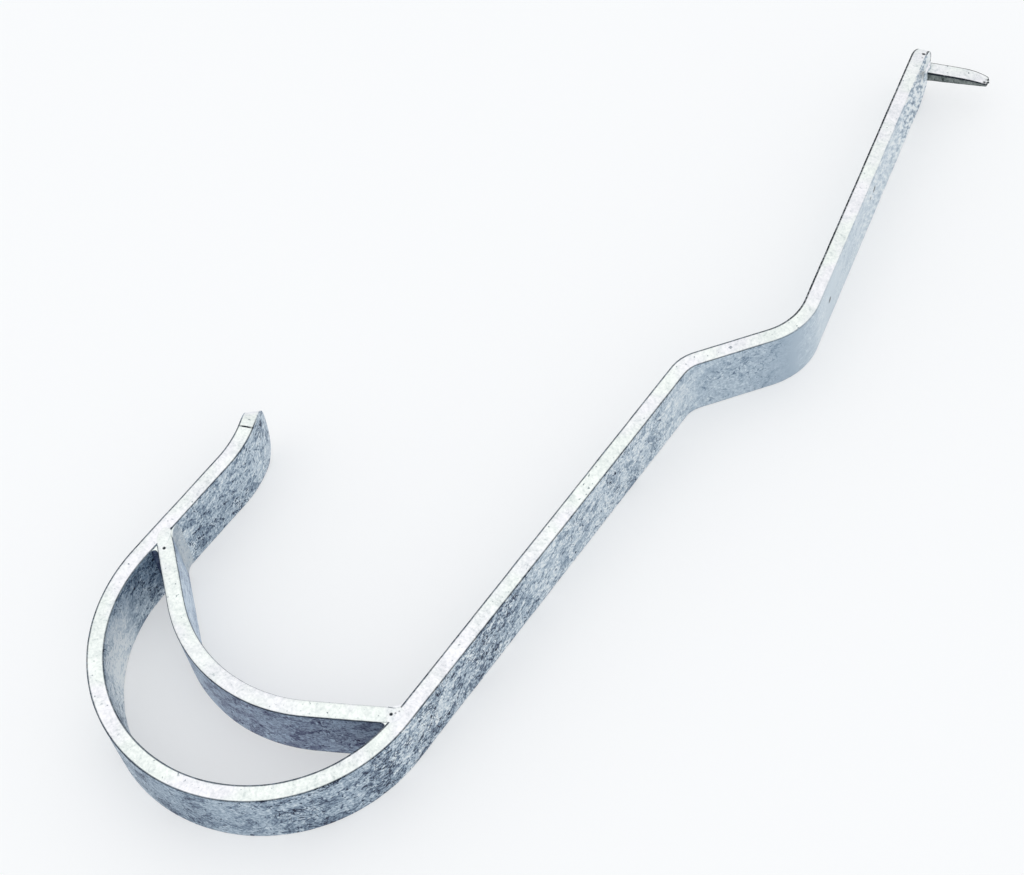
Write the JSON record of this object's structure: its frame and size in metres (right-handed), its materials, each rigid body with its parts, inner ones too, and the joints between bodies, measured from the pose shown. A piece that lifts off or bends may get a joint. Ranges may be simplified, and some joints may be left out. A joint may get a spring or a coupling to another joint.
{
  "type": "snow-guard log hook",
  "caption": "Flat-bar roof hook with a curved seat welded across its open J to hold a round log, a stepped shank and a tang with a spike.",
  "frame": {"origin": "where the axis of the seated log meets the plane that the hook's lower edges lie in", "axes": "+Z along the log's axis and the width of the bars, so the hook lies on its edge; +Y along the straight shank, from the hook to the tang; +X from the open side of the hook towards the roof side of the shank, the way the spike points"},
  "size_m": [0.2049, 0.5549, 0.035],
  "materials": {
    "galvanised_bar": "hot-dip galvanised, dull and mottled",
    "galvanised_weld": "weld bead under the same zinc coat"
  },
  "bodies": {
    "root": {"main_bar": "galvanised_bar", "seat_strap": "galvanised_bar", "spike": "galvanised_bar", "arm_weld": "galvanised_weld", "shank_weld": "galvanised_weld", "spike_weld": "galvanised_weld"}
  },
  "joints": []
}
